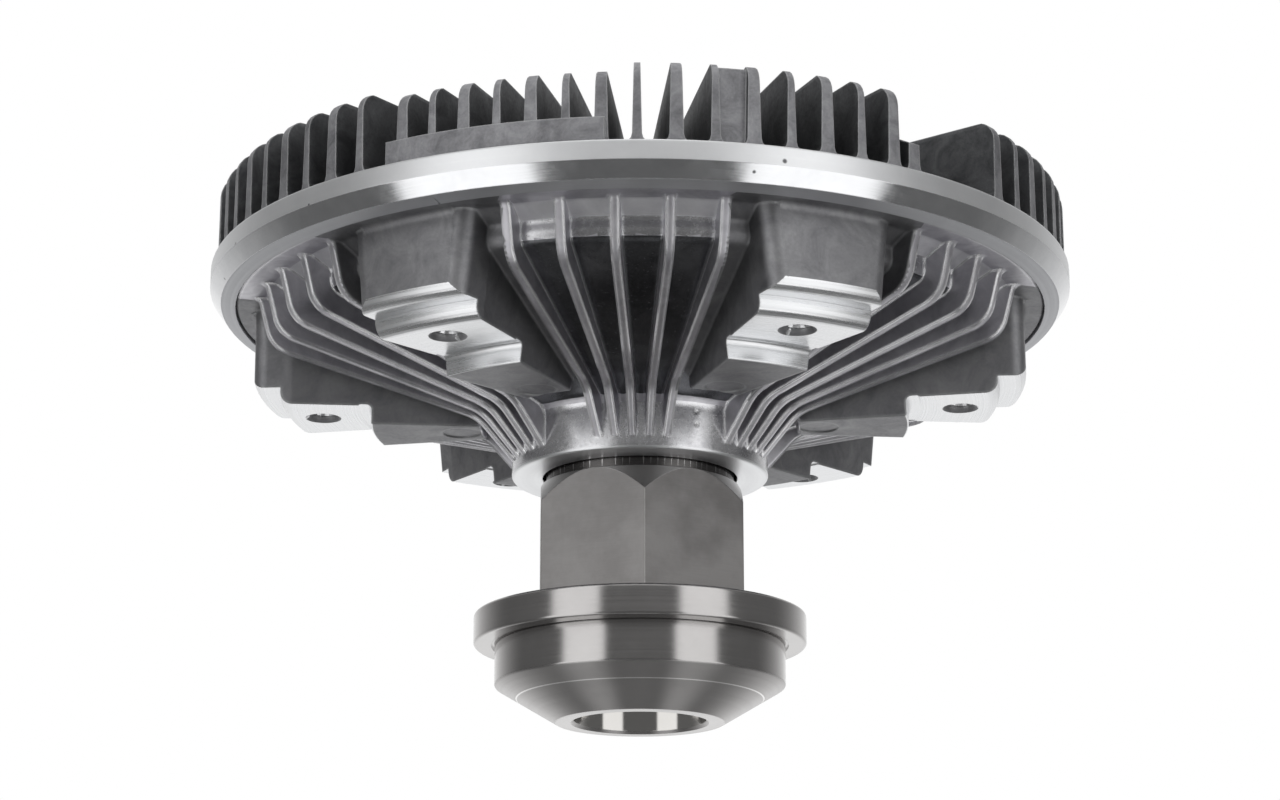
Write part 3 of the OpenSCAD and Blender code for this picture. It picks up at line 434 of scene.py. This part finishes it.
# the bosses' walls are duller; the cone between the ribs is painted darker, as painted shade of the hollows
# between the ribs
bossSkin = dict(castSkin, light="#a4a4a6", dark="#828285", wearAndHighlight="#bdbebf", roughness=(0.46, 0.6))
coneSkinPaintedShade = dict(castSkin, light="#77787b", dark="#545558", wearAndHighlight="#b4b5b7", grainStrength=0.04,
                roughness=(0.18, 0.28))
# beyond the cone the band is smooth and painted paler, as painted light, and its parts that face down are
# painted paler still, as painted light, and duller
bandSkinPaintedLight = dict(castSkin, light="#e4e4e6", dark="#c6c6c9", wearAndHighlight="#eeeff0", grainStrength=0.03,
                roughness=(0.18, 0.3))
panelSkinPaintedLight = dict(bandSkinPaintedLight, light="#f2f2f4", dark="#dcdcdf", roughness=(0.42, 0.58))
# blasted casting of the finned cover: duller and coarser than the housing, and painted darker as painted
# shade over the fins' sides and the bays between them
finSkinPaintedShade = dict(castSkin, light="#7a7b7d", dark="#525355", wearAndHighlight="#b4b5b6", flowSize=8 * mm,
               grainSize=0.8 * mm, grainStrength=0.3, roughness=(0.5, 0.7), edgeRadius=0.6 * mm)
# the fins' ends and tops, the dome and the pads' faces are painted paler than the deep bays, as painted
# light
finEndSkinPaintedLight = dict(finSkinPaintedShade, light="#b0b0b3", dark="#838386", wearAndHighlight="#cfd0d1")
# phosphated spring steel: dark grey crystals
springSteel = dict(castSkin, light="#5b5d61", dark="#3f4145", wearAndHighlight="#8b8d90", flowSize=4 * mm,
                   grainSize=0.25 * mm, roughness=(0.42, 0.56), edgeRadius=0.2 * mm)
# zinc plate: pale and slightly blue
zincPlate = dict(castSkin, light="#c3c8ce", dark="#a3a9b1", wearAndHighlight="#d9dce0", flowSize=3 * mm,
                 grainSize=0.3 * mm, roughness=(0.26, 0.4), edgeRadius=0.2 * mm)


def makeCastSkin(name, v):
    material, tree = startMaterial(name)
    place = addNode(tree, "ShaderNodeTexCoord").outputs["Object"]
    flow = addNode(tree, "ShaderNodeTexNoise", {
        "Vector": place, "Scale": 1 / v["flowSize"], "Detail": 6, "Roughness": 0.65,
        "Distortion": 0.8}).outputs["Fac"]
    grain = addNode(tree, "ShaderNodeTexNoise", {
        "Vector": place, "Scale": 1 / v["grainSize"], "Detail": 3, "Roughness": 0.6}).outputs["Fac"]
    spread = addNode(tree, "ShaderNodeMapRange", {"Value": flow, **shading["noise"]}).outputs[0]
    skin = addNode(tree, "ShaderNodeMix", {
        0: spread, "A": fromHex(v["dark"]), "B": fromHex(v["light"])}, data_type="RGBA").outputs["Result"]
    edge = addNode(tree, "ShaderNodeBevel", {
        "Radius": v["edgeRadius"]}, samples=shading["edgeSamples"]).outputs[0]
    wearAndHighlightShare, colour = rubAndHighlightEdges(tree, edge, skin, v["wearAndHighlight"])
    smooth, dull = v["roughness"]
    rough = addNode(tree, "ShaderNodeMapRange", {
        "Value": grain, **shading["noise"], "To Min": smooth, "To Max": dull}).outputs[0]
    unpolished = addNode(tree, "ShaderNodeMath", {
        0: wearAndHighlightShare, 1: -v["polish"], 2: 1.0}, operation="MULTIPLY_ADD").outputs[0]
    rough = addNode(tree, "ShaderNodeMath", {0: rough, 1: unpolished}, operation="MULTIPLY").outputs[0]
    bump = addNode(tree, "ShaderNodeBump", {
        "Strength": v["grainStrength"], "Distance": v["grainDepth"], "Height": grain, "Normal": edge})
    endMaterial(tree, {
        "Base Color": colour, "Metallic": 1.0, "Roughness": rough, "Normal": bump.outputs[0]})
    return material


# nitrile rubber: black, with a faint bloom
nitrileRubber = {
    "light": "#2b2b2d",
    "dark": "#1b1b1d",
    "bloomSize": 6 * mm,
    "grainSize": 0.2 * mm,
    "grainDepth": 0.05 * mm,
    "grainStrength": 0.25,
    "roughness": (0.55, 0.72),
}
# polyamide: dark and waxy
polyamide = dict(nitrileRubber, light="#45494c", dark="#34383b", bloomSize=9 * mm, grainSize=0.35 * mm,
                 roughness=(0.36, 0.5))
# phenolic laminate: a dull yellow brown
phenolic = dict(polyamide, light="#9c825e", dark="#856c4b", roughness=(0.45, 0.6))


def makeMoulded(name, v):
    material, tree = startMaterial(name)
    place = addNode(tree, "ShaderNodeTexCoord").outputs["Object"]
    bloom = addNode(tree, "ShaderNodeTexNoise", {
        "Vector": place, "Scale": 1 / v["bloomSize"], "Detail": 5, "Roughness": 0.6}).outputs["Fac"]
    grain = addNode(tree, "ShaderNodeTexNoise", {
        "Vector": place, "Scale": 1 / v["grainSize"], "Detail": 2, "Roughness": 0.5}).outputs["Fac"]
    colour = addNode(tree, "ShaderNodeMix", {
        0: bloom, "A": fromHex(v["dark"]), "B": fromHex(v["light"])}, data_type="RGBA").outputs["Result"]
    smooth, dull = v["roughness"]
    rough = addNode(tree, "ShaderNodeMapRange", {
        "Value": bloom, **shading["noise"], "To Min": smooth, "To Max": dull})
    bump = addNode(tree, "ShaderNodeBump", {
        "Strength": v["grainStrength"], "Distance": v["grainDepth"], "Height": grain})
    endMaterial(tree, {"Base Color": colour, "Roughness": rough.outputs[0], "Normal": bump.outputs[0]})
    return material


def dress(node, plain, *others):
    # every other finish comes with a test that picks its faces by where they are and how they lie
    mesh = cad[node].data
    mesh.materials.clear()
    for finish in [plain] + [finish for finish, test in others]:
        mesh.materials.append(finish)
    if not others:
        return
    for face in mesh.polygons:
        x, y, z = face.center
        radius = math.hypot(x, y)
        # twist is 1 on a face that looks along the circle, rise is 1 on one that looks up
        spot = SimpleNamespace(
            radius=radius / mm, turn=math.degrees(math.atan2(x, -y)), z=z / mm,
            twist=abs(x * face.normal.y - y * face.normal.x) / max(radius, 0.001 * mm), rise=face.normal.z)
        face.material_index = next((i + 1 for i, (finish, test) in enumerate(others) if test(spot)), 0)


# faces of the shaft, in millimetres
shaftCuts = {
    "upright": 0.1,             # an upright face's rise is less than this, up or down
    "hexSpan": (9.0, 46.9),
    "hexRadius": 34,
    "neckSpan": (47.1, 60),
    "boreRadius": sizes["mounts"]["shaft_bore"]["dims"]["r_mm"] + 0.3,
    "boreBelow": 10,
    "noseBelow": -11,
    "noseRise": (-0.95, -0.3),
}


def isHexFlat(spot):
    v = shaftCuts
    low, high = v["hexSpan"]
    return low < spot.z < high and spot.radius < v["hexRadius"] and abs(spot.rise) < v["upright"]


def isNeck(spot):
    low, high = shaftCuts["neckSpan"]
    return low < spot.z < high


def isBore(spot):
    v = shaftCuts
    return spot.radius < v["boreRadius"] and spot.z < v["boreBelow"] and abs(spot.rise) < v["upright"]


def isNose(spot):
    low, high = shaftCuts["noseRise"]
    return spot.z < shaftCuts["noseBelow"] and low < spot.rise < high


# faces of the housing, in millimetres and degrees
housingCuts = {
    "bossTurn": -3.4,           # halfway between two bosses
    "bossPitch": 60,
    "bossHalf": 12,
    "bossReach": 14.5,          # no rib stands nearer to the middle of a boss than this turn
    "bossFrom": 78.6,
    "bossBelow": sizes["fanSeat"] / mm + 8.1,
    "bossTwist": 0.08,
    "wallFrom": 47.2,
    "wallBelow": sizes["fanSeat"] / mm + 29.8,
    "hubBelow": sizes["hubFace"] / mm + 0.9,
    "hubRadius": 38.2,
    "cone": (40, 66.9, 0.353),  # radius and height where the cone starts, and its slope
    "coneSlack": (1, 1.5),      # how far inside and below those a face may lie
    "coneTwist": 0.2,
    "coneRise": -0.5,
    "bandSpan": (104.2, 111.2),
    "bandEdge": 106,
    "bandAbove": sizes["fanSeat"] / mm + 16,
    "bandTwist": 0.1,
    "bandRise": 0.3,
    "panelAbove": sizes["fanSeat"] / mm + 25.3,
    "panelRise": -0.75,
}


def fromBoss(turn):
    pitch = housingCuts["bossPitch"]
    return abs((turn - housingCuts["bossTurn"]) % pitch - pitch / 2)


def isBossCut(spot):
    v = housingCuts
    onBoss = fromBoss(spot.turn) < v["bossHalf"] and spot.radius > v["bossFrom"] and spot.z < v["bossBelow"]
    return onBoss and spot.twist < v["bossTwist"]


def isHubFace(spot):
    return spot.z < housingCuts["hubBelow"]


def isBossWall(spot):
    v = housingCuts
    return fromBoss(spot.turn) < v["bossReach"] and spot.radius > v["wallFrom"] and spot.z < v["wallBelow"]


def isCone(spot):
    v = housingCuts
    start, height, slope = v["cone"]
    inside, below = v["coneSlack"]
    facesDown = spot.twist < v["coneTwist"] and spot.rise < v["coneRise"]
    above = spot.z > height + (spot.radius - start) * slope - below
    return facesDown and start - inside < spot.radius < v["bandSpan"][0] and above


def isBand(spot):
    v = housingCuts
    low, high = v["bandSpan"]
    onHub = spot.radius < v["hubRadius"] and abs(spot.rise) < v["bandRise"]
    # the ribs' edges lie lower at the same radius
    above = v["bandAbove"] if spot.radius < v["bandEdge"] else v["panelAbove"]
    onBand = low < spot.radius < high and spot.z > above
    return spot.twist < v["bandTwist"] and spot.rise < v["bandRise"] and (onHub or onBand)


def isPanel(spot):
    return isBand(spot) and spot.rise < housingCuts["panelRise"]


# faces of the finned cover, in millimetres
coverCuts = {
    "bandFrom": sizes["rimRadius"] / mm - 0.8,
    "chamferFrom": sizes["rimRadius"] / mm - 3.1,
    "chamferRise": -0.2,
    "rimFrom": sizes["rimRadius"] / mm - 8,
    "rimBelow": sizes["fanSeat"] / mm + 38.8,
    "finEndFrom": sizes["rimRadius"] / mm - 7,
    "finTwist": 0.3,
    "finTopRise": 0.5,
    "finTopAbove": sizes["fanSeat"] / mm + 41.8,
}


def isRimBand(spot):
    v = coverCuts
    return spot.radius > v["bandFrom"] and spot.z < v["rimBelow"] and spot.rise > v["chamferRise"]


def isChamfer(spot):
    v = coverCuts
    return spot.radius > v["chamferFrom"] and spot.z < v["rimBelow"] and spot.rise < v["chamferRise"]


# faces that take the fin skin's paler copy, painted light on the fins' ends and tops
def isFinEnd(spot):
    v = coverCuts
    onTop = spot.rise > v["finTopRise"] and spot.z > v["finTopAbove"]
    onRim = spot.radius > v["finEndFrom"] and spot.z > v["rimBelow"]
    return onTop or onRim and spot.twist < v["finTwist"] and spot.rise < v["finTopRise"]


def isLip(spot):
    return spot.radius > coverCuts["rimFrom"] and spot.z < coverCuts["rimBelow"]


cutMetal = makeTurned("cut_aluminium", cutAluminium)
ground = makeTurned("bearing_steel", bearingSteel)
rubber = makeMoulded("nitrile_rubber", nitrileRubber)
sheet = makeMilled("sheet_steel", sheetSteel)
spring = makeCastSkin("phosphated_spring_steel", springSteel)
zinc = makeCastSkin("zinc_plate", zincPlate)
dress("drive_shaft", makeTurned("turned_steel", turnedSteel),
      (makeMilled("milled_steel", milledSteel), isHexFlat),
      (makeTurned("neck_steel_painted_shade", neckSteelPaintedShade), isNeck),
      (makeTurned("reamed_steel", reamedSteel), isBore),
      (makeTurned("nose_steel", noseSteel), isNose))
dress("rear_housing", makeCastSkin("die_cast_aluminium", ribSkin),
      (cutMetal, isBossCut),
      (makeTurned("turned_hub_face", hubFace), isHubFace),
      (makeCastSkin("cast_boss_skin", bossSkin), isBossWall),
      (makeCastSkin("cone_skin_painted_shade", coneSkinPaintedShade), isCone),
      (makeCastSkin("panel_skin_painted_light", panelSkinPaintedLight), isPanel),
      (makeCastSkin("band_skin_painted_light", bandSkinPaintedLight), isBand))
dress("front_cover", makeCastSkin("blasted_aluminium_painted_shade", finSkinPaintedShade),
      (makeTurned("turned_rim", rimBand), isRimBand),
      (makeTurned("burnished_aluminium", burnishedChamfer), isChamfer),
      (makeTurned("rolled_aluminium", rolledLip), isLip),
      (makeCastSkin("fin_ends_painted_light", finEndSkinPaintedLight), isFinEnd))
dress("rotor", makeTurned("turned_aluminium", rotorAluminium))
dress("bearing_cage", makeMoulded("polyamide", polyamide))
dress("pump_wiper", makeMoulded("phenolic_laminate", phenolic))
dress("bimetal_coil", makeMilled("bimetal_strip", bimetalStrip))
for finish, nodes in [
        (ground, ["bearing_inner_ring", "bearing_outer_ring", "bearing_balls", "valve_spindle"]),
        (rubber, ["bearing_rear_seal", "bearing_front_seal", "cover_seal_ring", "spindle_seal"]),
        (sheet, ["separator_plate", "valve_arm"]),
        (spring, ["bearing_retaining_ring", "spindle_clip"]),
        (zinc, ["separator_screws", "fill_plug"])]:
    for node in nodes:
        dress(node, finish)
print("finishes set")


# threads cut in the six bolt holes
thread = {
    "wallRadius": 3.96 * mm,
    "crestRadius": 3.35 * mm,
    "pitch": 1.41 * mm,
    "turns": 8,
    "steps": 20,                # faces round one turn
    "start": 1.5 * mm,          # above the fan's seat, where the countersink ends
    "circle": sizes["mounts"]["fan_bolts"]["dims"]["pcd_mm"] / 2,
    "count": 6,
}


def makeThreads():
    v = thread
    bm = bmesh.new()
    low = sizes["fanSeat"] + v["start"]
    corners = [
        (v["wallRadius"], low),
        (v["crestRadius"], low + 0.5 * v["pitch"]),
        (v["wallRadius"], low + v["pitch"])]
    for i in range(v["count"]):
        points = [bm.verts.new((r, 0, z)) for r, z in corners]
        sides = [bm.edges.new(pair) for pair in zip(points, points[1:])]
        before = set(bm.verts) - set(points)
        bmesh.ops.spin(bm, geom=points + sides, cent=(0, 0, 0), axis=(0, 0, 1),
                       dvec=(0, 0, v["pitch"] / v["steps"]),
                       angle=2 * math.pi * v["turns"], steps=v["steps"] * v["turns"])
        hole = onTurn(housingCuts["bossTurn"] + (i + 0.5) * 360 / v["count"], v["circle"], 0)
        bmesh.ops.translate(bm, verts=[p for p in bm.verts if p not in before], vec=hole)
    bmesh.ops.recalc_face_normals(bm, faces=bm.faces)
    for face in bm.faces:
        face.smooth = False
    mesh = bpy.data.meshes.new("bolt_threads")
    bm.to_mesh(mesh)
    bm.free()
    threads = bpy.data.objects.new("bolt_threads", mesh)
    bpy.context.scene.collection.objects.link(threads)
    mesh.materials.append(cutMetal)
    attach(threads, "casing")


makeThreads()
print("threads cut")


# bimetal coil, whose inner end sits in the spindle's slot and whose outer tab sits between the posts: a
# welded copy of the frame's strip, shaded smooth, in place of the frame's own
coil = {
    "outerTurn": 27 * mm,       # radius of the last turn
    "innerTurn": 6 * mm,        # radius of the first turn
    "weld": 0.001 * mm,
    "sharpFrom": math.radians(40),
}


def makeCoil():
    v = coil
    bm = bmesh.new()
    bm.from_mesh(cad["bimetal_coil"].data)
    bmesh.ops.remove_doubles(bm, verts=bm.verts, dist=v["weld"])
    for face in bm.faces:
        face.smooth = True
    mesh = bpy.data.meshes.new("coil_strip")
    bm.to_mesh(mesh)
    bm.free()
    mesh.set_sharp_from_angle(angle=v["sharpFrom"])
    mesh.materials.append(cad["bimetal_coil"].data.materials[0])
    strip = bpy.data.objects.new("coil_strip", mesh)
    bpy.context.scene.collection.objects.link(strip)
    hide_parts("bimetal_coil")
    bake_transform(strip)


makeCoil()
print("coil wound")
